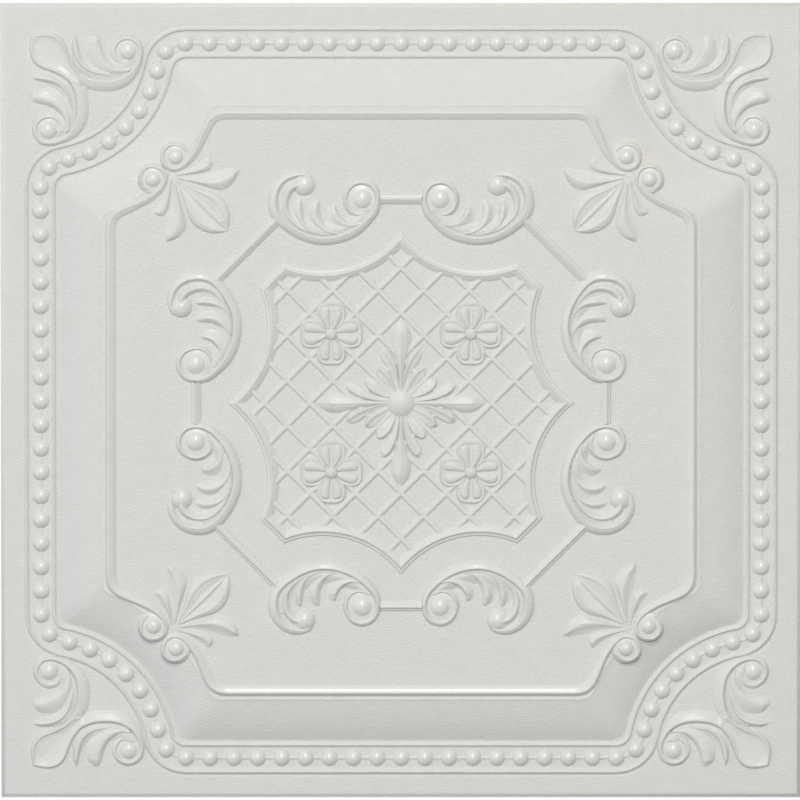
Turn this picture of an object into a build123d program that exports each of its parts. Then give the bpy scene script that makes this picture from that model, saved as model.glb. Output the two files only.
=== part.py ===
"""Moulded polystyrene ceiling tile, a square sheet pressed into a tin ceiling pattern.

The tile lies face up. +X is the right of its face, +Y its top edge and +Z comes out of the face.
The origin is the middle of the back plane. Every size is in millimetres. The pattern is the same
in all four quarters and on both sides of each diagonal, so each motif is drawn once, in the
upper left quarter, and then mirrored and turned.
"""
import os
from math import atan, cos, degrees, pi, radians, sin, sqrt

from build123d import *

os.makedirs("parts", exist_ok=True)

# Sheet
tile_side = 500.0
sheet_thickness = 3.2
bevel_width = 2.2
bevel_drop = 2.6
sink = 0.6  # how far a relief form reaches into the sheet under it
crest_share = 0.34  # flat top of a ridge as a share of its width

# Beaded border, measured from the line that the bead centres follow
bead_line_half = 225.0
notch_radius = 75.0
junction_radius = 17.0
junction_least = 3.0
bead_radius = 5.4
bead_rise = 3.3
beads_on_side = 19
beads_on_notch = 9
bead_facets = 6
bead_tiers = ((0, 1.0), (1, 0.5))  # shares of the rise and of the radius
border_ridge_offset = 8.4
border_ridge_width = 4.8
border_ridge_rise = 1.1

# Raised middle
pillow_foot_offset = 11.0
slope_width = 28.5
pillow_rise = 9.0

# Rib round the field, which ends in a volute on each side of a corner
field_rib_offset = 43.5
field_rib_width = 7.8
field_rib_rise = 2.0
field_rib_junction = 9.0
volute_bearing = 39.8
volute_radius = 8.2
eye_radius = 5.8
eye_rise = 3.0
eye_facets = 8
disc_facets = 12
eye_tiers = ((0, 1.0), (0.62, 0.76), (1, 0.34))

# Leaves
leaf_rise = 2.0
leaf_draft = 32.0
palmette_root = Vector(-138.5, 138.5)
palmette_shoulder = Vector(-112.5, 131.0)
palmette_tip = Vector(-108.0, 108.0)
corner_body_rise = 1.2
corner_rim_width = 5.2
corner_eye = Vector(-170.5, 220.0)

# Scrolls and the bars of the octagon between them
scroll_body_rise = 1.2
scroll_rim_width = 5.2
scroll_eye = Vector(-24.5, 128.0)
scroll_ball = Vector(-60.5, 137.2)
scroll_ball_radius = 6.6
bar_width = 5.4
bar_rise = 1.5
octagon_side = 127.8
octagon_diagonal = 135.8
diagonal_bar_length = 52.0

# Cartouche
cartouche_rib_width = 6.6
cartouche_rib_rise = 1.8
cartouche_cusp = Vector(0, 100.6)
cartouche_belly = Vector(-47.0, 79.8)
cartouche_shoulder = Vector(-71.0, 82.6)
lattice_pitch = 28.4
lattice_rib_width = 4.4
lattice_rib_rise = 0.9
flower_place = 43.6
petal_length = 18.6
petal_half_width = 8.2
flower_boss_radius = 5.0
rosette_boss_radius = 9.8
rosette_boss_rise = 3.4
axis_petal_length = 52.5
axis_petal_width = 11.5
blade_width = 5.5
blade_rise = 1.6

field_top = sheet_thickness + pillow_rise
notch_centre = Vector(bead_line_half, bead_line_half)
diagonal_mirror = Plane((0, 0, 0), z_dir=(1, 1, 0))


def junction_points(offset, least):
    """Start, middle and end of the arc that joins the top side to the notch of one parallel."""
    side = bead_line_half + offset
    notch = notch_radius - offset
    turn = max(junction_radius + offset, least)
    drop = notch_centre.Y - side + turn
    reach = sqrt((notch + turn) ** 2 - drop**2)
    middle = Vector(notch_centre.X - reach, side - turn)
    to_notch = Vector(reach, drop).normalized()
    start = middle + Vector(0, turn)
    halfway = middle + (Vector(0, 1) + to_notch).normalized() * turn
    return start, halfway, middle + to_notch * turn


def notch_point(radius, bearing):
    """A point round the top right notch centre, the bearing in degrees from pointing left."""
    return notch_centre - Vector(cos(radians(bearing)), sin(radians(bearing))) * radius


def swapped(point):
    """The point mirrored about the diagonal of the top right quarter."""
    return Vector(point.Y, point.X)


def draw_parallel(offset, least=junction_least):
    """Draws the closed line that runs parallel to the bead line, outwards by offset."""
    start, halfway, end = junction_points(offset, least)
    middle = notch_point(notch_radius - offset, 45)
    for quarter in range(4):
        turn = -90 * quarter
        near = [point.rotate(Axis.Z, turn) for point in (Vector(-start.X, start.Y), start, halfway, end)]
        far = [swapped(point).rotate(Axis.Z, turn) for point in (end, halfway, start)]
        Line(near[0], near[1])
        ThreePointArc(near[1], near[2], near[3])
        ThreePointArc(near[3], middle.rotate(Axis.Z, turn), far[0])
        ThreePointArc(far[0], far[1], far[2])


def parallel_stack(layers):
    """A solid through faces inside parallels, each layer an offset and a height."""
    with BuildPart() as stack:
        for offset, height in layers:
            with BuildSketch(Plane.XY.offset(height)):
                with BuildLine():
                    draw_parallel(offset)
                make_face()
        loft(ruled=True)
    return stack.part


def flowing_arcs(heading, points):
    """Arcs through the points, each tangent to the one before it, the first to the heading."""
    for here, there in zip(points, points[1:]):
        arc = TangentArc(here, there, tangent=heading)
        heading = arc % 1


def raised(outline, inner, width, rise, ground):
    """A ridge with drafted sides between two closed lines, or over the whole outline."""
    with BuildPart() as form:
        with BuildSketch(Plane.XY.offset(ground - sink)):
            make_face(outline)
            if inner:
                make_face(inner, mode=Mode.SUBTRACT)
        extrude(amount=sink)
        extrude(form.faces().sort_by(Axis.Z)[-1], amount=rise, taper=ridge_draft(width, rise))
    return form.part


def ridge_draft(width, rise):
    """Draft that leaves the crest of a ridge a set share of its width."""
    return degrees(atan((1 - crest_share) * width / (2 * rise)))


def bar(place, length, tilt):
    """A straight ridge of the octagon, its middle at the place."""
    with BuildLine() as outline:
        corners = [(length / 2, -bar_width / 2), (length / 2, bar_width / 2)]
        corners += [(-x, -y) for x, y in corners]
        Polyline(*[Vector(*corner).rotate(Axis.Z, tilt) + place for corner in corners], close=True)
    return raised(outline.edges(), None, bar_width, bar_rise, field_top)


def dome(radius, rise, ground, facets, tiers, place=Vector(0, 0)):
    """A many-sided dome that stands on the ground, each tier a share of the rise and the radius."""
    with BuildPart() as built:
        with BuildSketch(Plane((place.X, place.Y, ground - sink))):
            RegularPolygon(radius, facets)
        extrude(amount=sink)
        for (low, wide), (high, narrow) in zip(tiers, tiers[1:]):
            step = (high - low) * rise
            inward = (wide - narrow) * radius * cos(pi / facets)
            extrude(built.faces().sort_by(Axis.Z)[-1], amount=step, taper=degrees(atan(inward / step)))
    return built.part


def eye(ground, place, radius=eye_radius):
    """The round eye of a scroll, a ball or the boss of a flower."""
    return dome(radius, eye_rise, ground, eye_facets, eye_tiers, place)


def leaf(outline, ground, rise=leaf_rise):
    """A leaf with drafted sides over a closed outline."""
    with BuildPart() as form:
        with BuildSketch(Plane.XY.offset(ground - sink)):
            make_face(outline)
        extrude(amount=rise + sink, taper=leaf_draft)
    return form.part


def blade(root, tip):
    """A slender leaf of the rosette from root to tip, widest past its middle."""
    along = Vector(*tip) - Vector(*root)
    across = Vector(-along.Y, along.X).normalized() * blade_width / 2
    widest = Vector(*root) + along * 0.6
    with BuildLine() as outline:
        Polyline(root, widest - across, tip, widest + across, close=True)
    return leaf(outline.edges(), field_top, blade_rise)


# Where the beads stand: straight rows, and even steps along the line round each notch
row_start, row_turn, notch_start = junction_points(0, junction_least)
row_step = 2 * row_start.X / (beads_on_side - 1)
with BuildLine() as corner_run:
    ThreePointArc(row_start, row_turn, notch_start)
    ThreePointArc(notch_start, notch_point(notch_radius, 45), swapped(notch_start))
    ThreePointArc(swapped(notch_start), swapped(row_turn), swapped(row_start))
corner_wire = corner_run.wire()
quarter_beads = [Vector(row_start.X - index * row_step, bead_line_half) for index in range(beads_on_side)]
quarter_beads += [corner_wire @ (index / (beads_on_notch + 1)) for index in range(1, beads_on_notch + 1)]
bead_places = [place.rotate(Axis.Z, 90 * quarter) for quarter in range(4) for place in quarter_beads]
bead = dome(bead_radius, bead_rise, sheet_thickness, bead_facets, bead_tiers)

# Raised middle and the hollow behind it, which follows it at the sheet's own thickness
slope_foot = -pillow_foot_offset
slope_top = slope_foot - slope_width
pillow = parallel_stack(
    [(slope_foot, sheet_thickness - sink), (slope_foot, sheet_thickness), (slope_top, field_top)]
)
recess = parallel_stack([(slope_foot, 0), (slope_top, pillow_rise)])

# Small ridges on both sides of the beads
border_ridges = []
for side in (1, -1):
    edges = []
    for edge_side in (0.5, -0.5):
        with BuildLine() as ridge_edge:
            draw_parallel(side * border_ridge_offset + edge_side * border_ridge_width)
        edges.append(ridge_edge.edges())
    border_ridges.append(raised(*edges, border_ridge_width, border_ridge_rise, sheet_thickness))

# Rib round the top of the field, open between the two volutes of each corner
rib_edges = []
for side in (0.5, -0.5):
    outward = side * field_rib_width
    with BuildLine() as rib_edge:
        draw_parallel(outward - field_rib_offset, outward + field_rib_junction)
    rib_edges.append(rib_edge.edges())
rib_radius = notch_radius + field_rib_offset
rib_corner = notch_centre.length - rib_radius
volute_gap = 2 * rib_radius * sin(radians(45 - volute_bearing))
rib_eye = notch_point(rib_radius - volute_radius, volute_bearing)
with BuildPart() as field_rib:
    add(raised(*rib_edges, field_rib_width, field_rib_rise, field_top))
    with BuildSketch(Plane.XY.offset(field_top + field_rib_rise)):
        with PolarLocations(rib_corner, 4, start_angle=45):
            Rectangle(2 * field_rib_width, volute_gap)
    extrude(amount=-field_rib_rise - 2 * sink, mode=Mode.SUBTRACT)
with BuildPart() as rib_eyes:
    add(eye(field_top, rib_eye))
    mirror(about=Plane.YZ)

# Palmette that grows from the corner of the field
with BuildLine() as palmette_edge:
    ThreePointArc(palmette_tip, (-107.4, 120.5), palmette_shoulder)
    Line(palmette_shoulder, palmette_root)
    mirror(about=diagonal_mirror)
palmette = leaf(palmette_edge.edges(), field_top)
with BuildLine() as long_leaf_edge:
    flowing_arcs((1, -0.22), [(-138, 141.0), (-113.5, 133.8), (-101.5, 147.0)])
    ThreePointArc((-101.5, 147.0), (-115, 146.0), (-138, 141.0))
with BuildLine() as short_leaf_edge:
    ThreePointArc((-138, 143.0), (-125, 144.2), (-117.0, 149.5))
    Polyline((-117.0, 149.5), (-119.3, 153.8), (-138, 143.0))
with BuildPart() as side_leaves:
    add(leaf(long_leaf_edge.edges(), field_top))
    add(leaf(short_leaf_edge.edges(), field_top))
    mirror(about=diagonal_mirror)

# Scroll beside the middle of the top side, and the bars that join it to its neighbours
scroll_rim_points = [(-80.8, 127), (-73, 112), (-49, 101.8), (-13.2, 126.5)]
with BuildPart() as scroll:
    with BuildSketch(Plane.XY.offset(field_top - sink)):
        with BuildLine():
            flowing_arcs((0, -1), scroll_rim_points)
            Line(scroll_rim_points[-1], (-34, 117))
            Line((-34, 117), (-42, 123.5))
            ThreePointArc((-42, 123.5), (-46.5, 120), (-47.5, 114.5))
            Line((-47.5, 114.5), (-52, 128.8))
            ThreePointArc((-52, 128.8), (-57.5, 124), (-59, 116.5))
            Line((-59, 116.5), (-63, 131))
            Line((-63, 131), scroll_rim_points[0])
        make_face()
        with Locations(scroll_eye):
            RegularPolygon(eye_radius + scroll_rim_width / 2, disc_facets)
    extrude(amount=scroll_body_rise + sink)
    add(eye(field_top + scroll_body_rise, scroll_eye))
    add(eye(field_top, scroll_ball, scroll_ball_radius))
    mirror(about=Plane.YZ)
side_bar = bar(Vector(0, octagon_side), -2 * (scroll_eye.X + eye_radius), 0)
diagonal_bar = bar(Vector(0, octagon_diagonal).rotate(Axis.Z, 45), diagonal_bar_length, 45)

# Leaves and scrolls of the tile's corner
with BuildLine() as corner_leaf_edge:
    ThreePointArc((-201, 201), (-206.3, 213), (-210.5, 225.5))
    ThreePointArc((-210.5, 225.5), (-218, 230.4), (-228.5, 228.5))
    mirror(about=diagonal_mirror)
corner_leaf = leaf(corner_leaf_edge.edges(), sheet_thickness)
corner_rim_points = [(-205, 212), (-184, 198.4), (-163.4, 215.5)]
with BuildPart() as corner_fronds:
    with BuildSketch(Plane.XY.offset(sheet_thickness - sink)):
        with BuildLine():
            flowing_arcs((0.55, -0.83), corner_rim_points)
            Line(corner_rim_points[2], (-181, 213))
            ThreePointArc((-181, 213), (-187, 219), (-190.5, 229.5))
            ThreePointArc((-190.5, 229.5), (-196.5, 222), (-197, 212.5))
            Line((-197, 212.5), (-202.5, 229))
            Line((-202.5, 229), corner_rim_points[0])
        make_face()
        with Locations(corner_eye):
            RegularPolygon(eye_radius + corner_rim_width / 2, disc_facets)
    extrude(amount=corner_body_rise + sink)
    add(eye(sheet_thickness + corner_body_rise, corner_eye))
    mirror(about=diagonal_mirror)

# Frame of the cartouche and the lattice inside it
shoulder_pair = Vector(-cartouche_shoulder.Y, -cartouche_shoulder.X)
belly_pair = Vector(-cartouche_belly.Y, -cartouche_belly.X)
with BuildLine() as cartouche_line:
    for quarter in range(4):
        turn = 90 * quarter
        cusp, belly, shoulder = [
            point.rotate(Axis.Z, turn) for point in (cartouche_cusp, cartouche_belly, cartouche_shoulder)
        ]
        far_shoulder, far_belly, far_cusp = [
            point.rotate(Axis.Z, turn)
            for point in (shoulder_pair, belly_pair, cartouche_cusp.rotate(Axis.Z, 90))
        ]
        ThreePointArc(cusp, belly, shoulder)
        Line(shoulder, far_shoulder)
        ThreePointArc(far_shoulder, far_belly, far_cusp)
cartouche_edges = []
for side in (0.5, -0.5):
    with BuildLine() as frame_edge:
        add(cartouche_line.line)
        offset(amount=side * cartouche_rib_width, kind=Kind.INTERSECTION, mode=Mode.REPLACE)
    cartouche_edges.append(frame_edge.edges())
cartouche_frame = raised(*cartouche_edges, cartouche_rib_width, cartouche_rib_rise, field_top)
cell_pitch = lattice_pitch / sqrt(2)
cells = 2 * int(sqrt(2) * cartouche_cusp.Y / lattice_pitch) + 2
lattice_draft = ridge_draft(lattice_rib_width, lattice_rib_rise)
cell_side = cell_pitch - crest_share * lattice_rib_width
with BuildPart() as cell:
    with BuildSketch():
        Rectangle(cell_side, cell_side)
    extrude(amount=lattice_rib_rise + sink, taper=lattice_draft)
with BuildPart() as lattice:
    with BuildSketch(Plane.XY.offset(field_top - sink)):
        make_face(cartouche_line.edges())
    extrude(amount=lattice_rib_rise + sink)
    with Locations(Location((0, 0, field_top + lattice_rib_rise), (180, 0, 45))):
        with GridLocations(cell_pitch, cell_pitch, cells, cells):
            add(cell.part, mode=Mode.SUBTRACT, clean=False)

# Flower over the crossing in each quarter of the lattice
with BuildLine() as petal_edge:
    Line((0, -2), (petal_length / 2, -petal_half_width))
    TangentArc((petal_length / 2, -petal_half_width), (petal_length, 0), tangent=(1, -0.1))
    mirror(about=Plane.XZ)
    Line((0, -2), (0, 2))
petal = leaf(petal_edge.edges(), field_top)
flower_centre = Vector(-flower_place, flower_place)
with BuildPart() as flower:
    with Locations((flower_centre.X, flower_centre.Y, 0)):
        with PolarLocations(0, 4):
            add(petal)
    add(eye(field_top, flower_centre, flower_boss_radius))

# Rosette over the middle of the lattice, one quarter of its petals
with BuildLine() as axis_petal_edge:
    ThreePointArc((0, 5), (axis_petal_width / 2, 0.6 * axis_petal_length), (0, axis_petal_length))
    mirror(about=Plane.YZ)
axis_petal = leaf(axis_petal_edge.edges(), field_top)
with BuildPart() as blades:
    add(blade((-3, 6), (-14, 34)))
    add(blade((-4, 6), (-17.5, 22.5)))
    mirror(about=diagonal_mirror)
rosette_boss = dome(rosette_boss_radius, rosette_boss_rise, field_top, disc_facets, eye_tiers)

with BuildPart() as ceiling_tile:
    with BuildSketch():
        Rectangle(tile_side, tile_side)
    extrude(amount=sheet_thickness - bevel_drop)
    extrude(
        ceiling_tile.faces().sort_by(Axis.Z)[-1],
        amount=bevel_drop,
        taper=degrees(atan(bevel_width / bevel_drop)),
    )
    add([pillow, *border_ridges, field_rib.part, cartouche_frame, lattice.part, rosette_boss], clean=False)
    with Locations(*bead_places):
        add(bead, clean=False)
    with PolarLocations(0, 4):
        add([rib_eyes.part, palmette, side_leaves.part], clean=False)
        add([scroll.part, side_bar, diagonal_bar, corner_leaf, corner_fronds.part], clean=False)
        add([flower.part, axis_petal, blades.part], clean=False)
    add(recess, mode=Mode.SUBTRACT, clean=False)

ceiling_tile.part.label = "ceiling_tile"
export_step(ceiling_tile.part, "parts/ceiling_tile.step")
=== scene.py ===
"""Pressed polystyrene foam ceiling tile: its relief, its foam skin and the stage it lies on.

Sizes in the lists of this file are millimetres in the tile's own plan, with the middle of the
tile at 0, 0 and the photograph's upper left quarter at negative X and positive Y. The pattern is
the same in every quarter and on both sides of each diagonal, so each motif is drawn once, there.
"""
import math

import bmesh
import bpy
from bpy.props import FloatProperty, FloatVectorProperty, PointerProperty
from mathutils import Matrix, Vector


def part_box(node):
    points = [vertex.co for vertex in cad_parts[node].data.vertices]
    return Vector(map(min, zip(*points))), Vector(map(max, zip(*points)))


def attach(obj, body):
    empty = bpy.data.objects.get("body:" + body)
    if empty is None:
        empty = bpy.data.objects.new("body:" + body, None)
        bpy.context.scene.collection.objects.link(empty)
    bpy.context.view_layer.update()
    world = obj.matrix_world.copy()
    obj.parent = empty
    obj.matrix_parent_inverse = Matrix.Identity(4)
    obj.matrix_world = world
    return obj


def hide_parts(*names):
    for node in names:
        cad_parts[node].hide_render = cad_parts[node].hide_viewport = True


bl_info = {
    "name": "Foam Ceiling Tile",
    "version": (1, 0, 0),
    "blender": (4, 5, 0),
    "location": "View3D > Sidebar > Ceiling Tile",
    "description": "Builds the relief of a pressed foam ceiling tile over its packed solid",
    "category": "Object",
}

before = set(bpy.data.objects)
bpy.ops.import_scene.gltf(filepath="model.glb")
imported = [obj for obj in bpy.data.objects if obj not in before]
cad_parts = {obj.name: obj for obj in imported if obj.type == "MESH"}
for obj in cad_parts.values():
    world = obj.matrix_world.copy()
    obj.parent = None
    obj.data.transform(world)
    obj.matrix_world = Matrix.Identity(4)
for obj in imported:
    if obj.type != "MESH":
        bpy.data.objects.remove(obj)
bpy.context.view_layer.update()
NODE = "ceiling_tile"
TILE_LOW, TILE_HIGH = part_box(NODE)
MM = 0.001

# Plan of the beaded line and of what runs parallel to it
HALF_SIDE = (TILE_HIGH.x - TILE_LOW.x) / 2 / MM
BEAD_LINE = 225.0
NOTCH_RADIUS = 75.0
JUNCTION_RADIUS = 17.0
JUNCTION_LEAST = 9.0
BEADS_ON_SIDE = 19
BEADS_ON_NOTCH = 9
PILLOW_FOOT = -11.0
FIELD_EDGE = -41.0
LINE_STEPS = 26
JUNCTION_STEPS = 7
NOTCH_STEPS = 36

# Ridges beside the beads, and smaller rounds along the same line: offset, half width, height
RIDGES = (8.8, -8.2)
RIDGE_HALF = 1.6
FINE_ROUNDS = (
    (11.0, 0.7, -0.25),  # groove outside the outer ridge
    (0, 1.4, 0.6),  # string between the beads
    (-39.9, 1.5, -0.35),  # groove at the top of the slope
    (-38.0, 1.0, 0.25),  # lip below that groove
)
# Share of the slope's section that is straight; the rest rounds off towards the field
SLOPE_FLATNESS = 0.65
# The edge: shares of the bevel's width and drop, then inset and height down to the back
SHOULDER = (
    (-0.6, 0), (-0.25, 0.02), (0, 0.08), (0.2, 0.24), (0.45, 0.5), (0.7, 0.76), (0.9, 0.95), (1, 1)
)
CUT_EDGE = ((0, 0.3), (0.1, 0.06), (0.3, 0), (1.2, 0))
BACK_STEP = 1.6

# How deep the hidden rim of a relief form lies under the ground that it grows from
DIP = 0.12
# What lies this far below its ground is a foot, and how deep such a foot sinks into the slope
FOOT_BELOW = 0.1
SEAT_DEPTH = 0.3
# How far the hidden skirt of a dome stands out from its rim
SKIRT_OUT = 0.02
# Vertices closer than this are merged
MERGE = 0.002
# Points to each span of a drawn line, before they are spaced evenly
FINE_STEPS = 24

# Width of the skin's grain, depth of its bump and width of the foam's cloudy density
GRAIN_SIZE = 0.85
GRAIN_DEPTH = 0.7
CLOUD_SIZE = 9.0

VERT, EDGE, FACE = bmesh.types.BMVert, bmesh.types.BMEdge, bmesh.types.BMFace


def to_linear(code):
    """Linear colour of an sRGB hex string such as #D8D8D4, with alpha."""
    parts = [int(code[i : i + 2], 16) / 255 for i in (1, 3, 5)]
    return [c / 12.92 if c <= 0.04045 else ((c + 0.055) / 1.055) ** 2.4 for c in parts] + [1.0]


def a_length(name, description, millimetres):
    """A setting that holds a length."""
    default = millimetres * MM
    return FloatProperty(name=name, description=description, default=default, unit="LENGTH")


def a_power(name, description, watts):
    """A setting that holds the power of a lamp."""
    return FloatProperty(name=name, description=description, default=watts, unit="POWER")


def a_share(name, description, default, most=1.0):
    """A setting from none to the most."""
    return FloatProperty(name=name, description=description, default=default, min=0.0, max=most)


def a_colour(name, description, code):
    """A setting that holds a colour, given by its sRGB hex string."""
    return FloatVectorProperty(
        name=name, description=description, size=4, subtype="COLOR", default=to_linear(code)
    )


class SheetSizes(bpy.types.PropertyGroup):
    """Sizes of the pressed sheet."""

    thickness: a_length("Thickness", "Foam thickness of the border", 3.2)
    pillow_rise: a_length("Pillow rise", "How far the middle is raised", 9.0)
    slope_width: a_length("Slope width", "Width of the pillow's slope", 28.5)
    bevel_width: a_length("Bevel width", "Width of the edge bevel", 2.1)
    bevel_drop: a_length("Bevel drop", "Depth of the edge bevel", 2.8)
    ridge_rise: a_length("Ridge rise", "Height of the ridges beside the beads", 1.5)


class ReliefSizes(bpy.types.PropertyGroup):
    """Heights of the ornament above the ground that it grows from."""

    bead_radius: a_length("Bead radius", "Radius of a border bead", 5.3)
    bead_rise: a_length("Bead rise", "Height of a border bead", 3.3)
    leaf_rise: a_length("Leaf rise", "Height of the leaf crests", 2.9)
    rim_rise: a_length("Rim rise", "Height of the scroll rims", 3.7)
    frame_rise: a_length("Frame rise", "Height of the ribs and bars", 2.7)
    lattice_rise: a_length("Lattice rise", "Height of the lattice lines", 1.3)
    eye_rise: a_length("Eye rise", "Height of the eyes and bosses", 3.5)


class FoamFinish(bpy.types.PropertyGroup):
    """Colours and skin of the foam."""

    foam_colour: a_colour("Foam colour", "Colour of the white foam", "#DEDDD8")
    shade_colour: a_colour("Mottle colour", "Colour of the slightly darker cells", "#DAD9D4")
    roughness: a_share("Roughness", "Roughness of the foam", 0.45)
    skin_gloss: a_share(
        "Skin gloss", "Weight of the glossy skin where the foam is drawn deepest", 1.0
    )
    grain_strength: a_share("Grain strength", "Strength of the sheet's fine grain", 1.0, 2.0)


class StageLook(bpy.types.PropertyGroup):
    """Floor, lamps and camera of the studio."""

    floor_colour: a_colour("Floor colour", "Colour of the pale floor", "#FFFFFF")
    key_power: a_power("Key power", "Power of the lamp over the top edge", 198.0)
    glint_power: a_power("Glint power", "Power of the small lamp beyond the top edge", 122.0)
    side_power: a_power("Side power", "Power of the broad cool lamp on the left", 86.0)
    sky_strength: a_share("Sky strength", "Strength of the even light", 0.28)
    camera_distance: a_length("Camera distance", "Distance of the camera from the tile", 16000)


# Curves in plan


def junction_centre(offset):
    """Centre and radius of the arc between the top side and the left notch, for one parallel."""
    turn = max(JUNCTION_RADIUS + offset, JUNCTION_LEAST)
    notch = NOTCH_RADIUS - offset
    rise = BEAD_LINE + offset - turn
    reach = math.sqrt((notch + turn) ** 2 - (BEAD_LINE - rise) ** 2)
    return Vector((BEAD_LINE - reach, rise)), turn, notch


def parallel(offset):
    """Points of the closed line parallel to the beaded line, always as many and clockwise."""
    middle, turn, notch = junction_centre(offset)
    corner = Vector((BEAD_LINE, BEAD_LINE))
    to_notch = (corner - middle).angle_signed(Vector((0, 1)))
    side = [
        Vector((middle.x * (2 * step / LINE_STEPS - 1), middle.y + turn))
        for step in range(LINE_STEPS)
    ]
    near = []
    for step in range(JUNCTION_STEPS):
        angle = math.pi / 2 - abs(to_notch) * step / JUNCTION_STEPS
        near.append(middle + turn * Vector((math.cos(angle), math.sin(angle))))
    start = math.atan2(middle.y - corner.y, middle.x - corner.x)
    finish = -math.pi / 2 - (start + math.pi)
    arc = []
    for step in range(NOTCH_STEPS + 1):
        angle = start + (finish - start) * step / NOTCH_STEPS
        arc.append(corner + notch * Vector((math.cos(angle), math.sin(angle))))
    far = [Vector((point.y, point.x)) for point in reversed(near)]
    quarter = side + near + arc + far[:-1]
    ring = []
    for turns in range(4):
        spin = Matrix.Rotation(-math.pi / 2 * turns, 2)
        ring += [spin @ point for point in quarter]
    return ring


def smooth_line(points, count):
    """Evenly spaced points along a smooth curve through the given ones."""
    known = [Vector(point) for point in points]
    known = [2 * known[0] - known[1]] + known + [2 * known[-1] - known[-2]]
    fine = []
    for a, b, c, d in zip(known, known[1:], known[2:], known[3:]):
        square = 2 * a - 5 * b + 4 * c - d
        cube = 3 * b - a - 3 * c + d
        for step in range(FINE_STEPS):
            t = step / FINE_STEPS
            fine.append(0.5 * (2 * b + (c - a) * t + square * t**2 + cube * t**3))
    fine.append(known[-2])
    reach = [0.0]
    for here, there in zip(fine, fine[1:]):
        reach.append(reach[-1] + (there - here).length)
    line = []
    index = 0
    for step in range(count):
        target = reach[-1] * step / (count - 1)
        while index < len(fine) - 2 and reach[index + 1] < target:
            index += 1
        span = max(reach[index + 1] - reach[index], 1e-9)
        line.append(fine[index].lerp(fine[index + 1], min((target - reach[index]) / span, 1.0)))
    return line


def left_normals(line):
    """Unit vectors square to a line of points, on its left."""
    normals = []
    for behind, ahead in zip(line[:1] + line[:-1], line[1:] + line[-1:]):
        way = ahead - behind
        normals.append(Vector((-way.y, way.x)).normalized())
    return normals


def graph(knots, place):
    """Value of an eased line through (place, value) knots."""
    for (x0, y0), (x1, y1) in zip(knots, knots[1:]):
        if place <= x1:
            share = max(place - x0, 0) / max(x1 - x0, 1e-9)
            share = share * share * (3 - 2 * share)
            return y0 + (y1 - y0) * share
    return knots[-1][1]


# Cross sections: height as a share of the rise, from the foot at 0 to the crest at 1


def round_side(share):
    """A side like a quarter of a circle."""
    return math.sqrt(share * (2 - share))


def full_side(share):
    """A side that bulges a little."""
    return 1 - (1 - share) ** 1.75


def hollow_side(share):
    """A side that sags between its foot and its crest."""
    return share**1.5


def soft_side(share):
    """A side that leaves the ground and meets the crest gently."""
    return share * share * (3 - 2 * share)


def keeled_side(share):
    """A swelling side with a narrow keel along the crest."""
    return 0.84 * (1 - (1 - share) ** 1.5) + 0.16 * soft_side(max(share - 0.8, 0) / 0.2)


def eased_side(share):
    """A nearly flat flank with a soft foot and a soft crest."""
    return 0.45 * share + 0.55 * soft_side(share)


def lipped_side(share):
    """A steep swelling side that turns up into a thin lip at the crest."""
    return 0.86 * (1 - (1 - share) ** 2.2) + 0.14 * soft_side(max(share - 0.82, 0) / 0.18)


def knotted(*knots):
    """A side drawn by (share, height) knots."""
    return lambda share: graph(knots, share)


STEPPED = knotted((0, 0), (0.3, 0.42), (0.56, 0.46), (0.92, 0.95), (1, 1))
DISHED = knotted((0, 0), (0.16, 0.46), (0.55, 0.56), (1, 1))
FAN_SIDE = knotted(
    (0, 0), (0.1, 0.62), (0.2, 0.8), (0.34, 1), (0.52, 0.72), (0.84, 0.5), (0.93, 0.56), (1, 0.95)
)
LATTICE_SIDE = knotted((0, 0), (0.62, 0.92), (1, 1))
PETAL_RIM = knotted((0, 0), (0.06, 0.4), (0.15, 1), (0.23, 0.7), (0.4, 0.6), (1, 0.6))
BUD_SIDE = knotted((0, 0), (0.5, 0.12), (0.86, 0.42), (0.97, 0.98), (1, 1))
EVEN = ((0, 1), (1, 1))


# Mesh tools


def of_kind(geom, kind):
    """The items of one kind in the geometry that an operator gives back."""
    return [item for item in geom if isinstance(item, kind)]


def raise_strip(
    bm, foot_a, crest, foot_b, rise, swell, sides, ground, across=(5, 5), rest=((0, 0), (1, 0))
):
    """A strip of relief with a foot on each side of its crest line; the three lines match.

    The second foot may rest above the ground, at a share of the rise that is given along it.
    """
    steps = len(crest) - 1
    total = across[0] + across[1]
    made = bmesh.ops.create_grid(bm, x_segments=steps, y_segments=total, size=0.5)
    verts = made["verts"]
    for vert in verts:
        step = round((vert.co.x + 0.5) * steps)
        over = round((vert.co.y + 0.5) * total)
        along = step / steps
        if over <= across[0]:
            share = over / across[0]
            flat = foot_a[step].lerp(crest[step], share)
            floor = 0
            height = sides[0](share)
        else:
            share = (total - over) / across[1]
            flat = foot_b[step].lerp(crest[step], share)
            floor = graph(rest, along)
            height = floor + (1 - floor) * sides[1](share)
        lift = rise * graph(swell, along) * height - DIP * (1 - share) ** 3 * (1 - floor)
        vert.co = (flat.x * MM, flat.y * MM, (ground + lift) * MM)
    faces = list({face for vert in verts for face in vert.link_faces})
    bmesh.ops.recalc_face_normals(bm, faces=faces)
    if sum(face.normal.z for face in faces) < 0:
        bmesh.ops.reverse_faces(bm, faces=faces)


def lay_leaf(bm, foot_a, crest, foot_b, rise, ground, sides, swell=EVEN, steps=30, across=(5, 5)):
    """A leaf between two drawn feet, with a drawn crest."""
    lines = [smooth_line(line, steps + 1) for line in (foot_a, crest, foot_b)]
    raise_strip(bm, *lines, rise, swell, sides, ground, across)


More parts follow.
